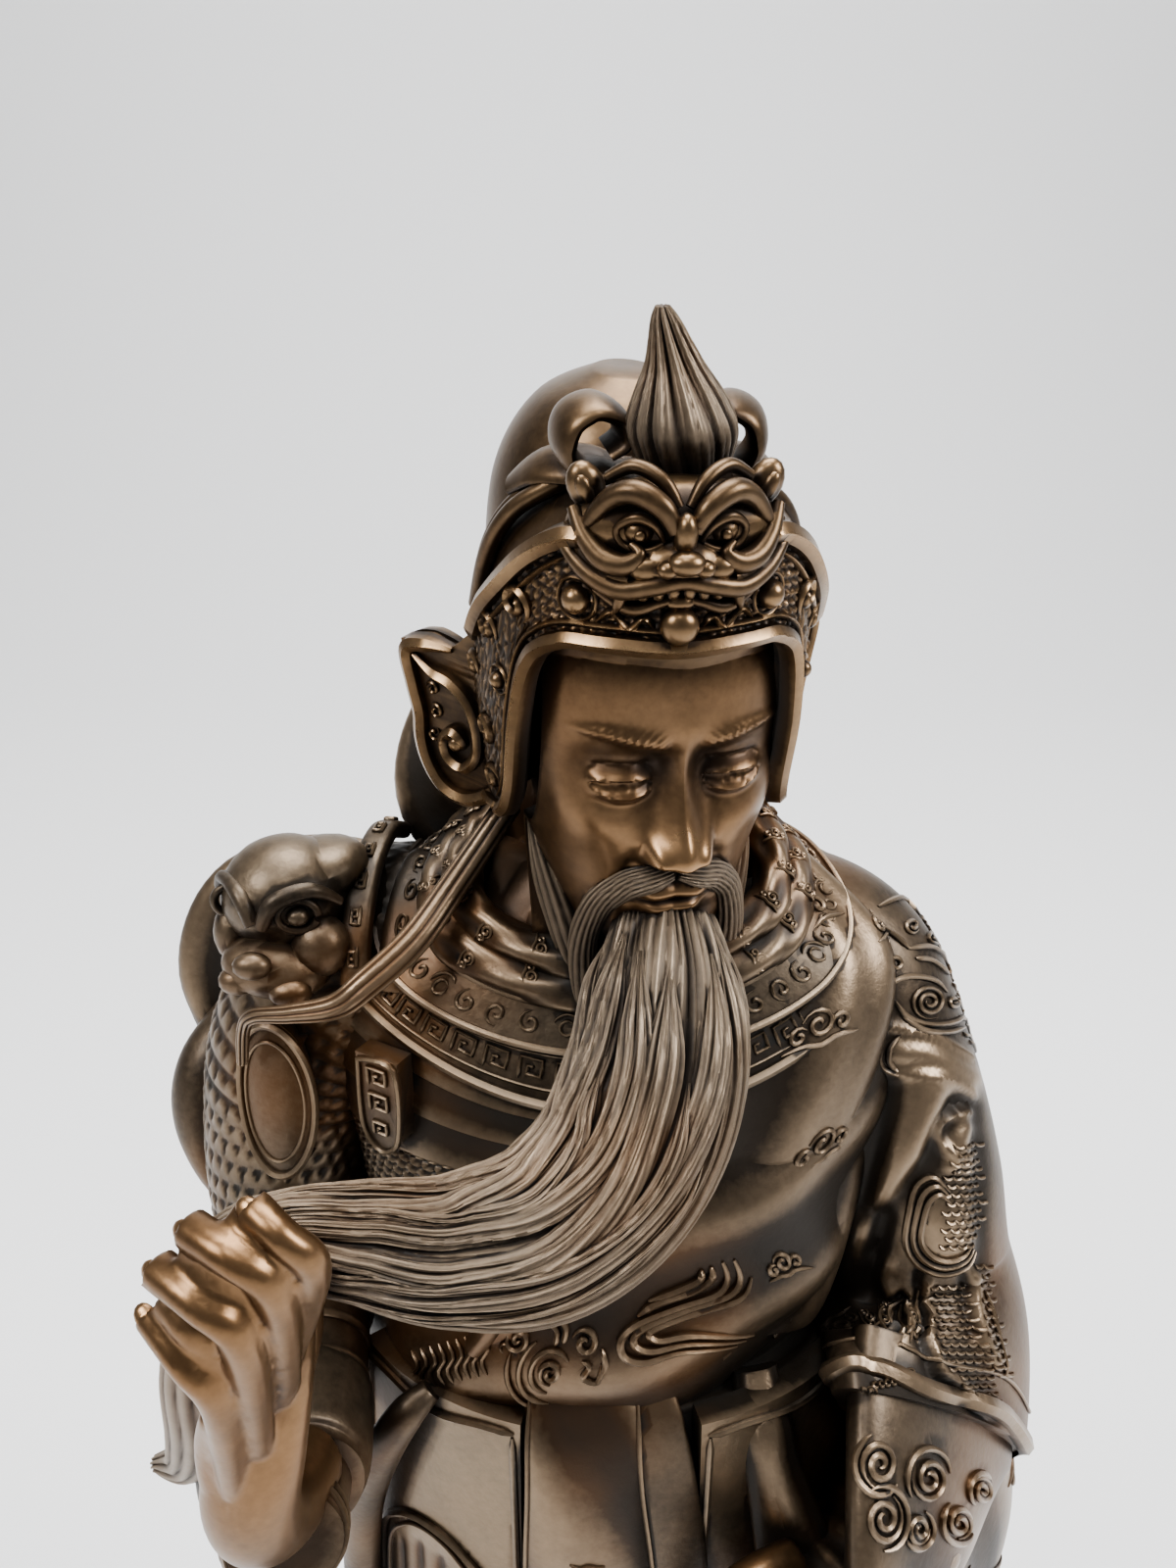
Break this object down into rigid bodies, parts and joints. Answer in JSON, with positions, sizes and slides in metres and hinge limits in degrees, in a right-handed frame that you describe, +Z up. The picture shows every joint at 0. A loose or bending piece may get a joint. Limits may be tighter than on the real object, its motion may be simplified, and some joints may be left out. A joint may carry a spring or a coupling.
{
  "type": "bronze figure of a standing general",
  "caption": "Standing bearded general in half armour and half robe, gathering a long beard in one hand, cast in dark bronze and set on a low stepped plinth.",
  "frame": {"origin": "middle of the plinth's underside", "axes": "+Z up, -Y to the front of the figure, +X to the figure's left"},
  "size_m": [0.24, 0.2166, 0.6027],
  "materials": {
    "figure_bronze": "dark brown bronze patina, near-black in the hollows and rubbed golden brown on the high places",
    "plinth_bronze": "dark brown bronze patina, satin, rubbed along the edges"
  },
  "bodies": {
    "root": {"plinth": "plinth_bronze", "figure": "figure_bronze"}
  },
  "joints": []
}
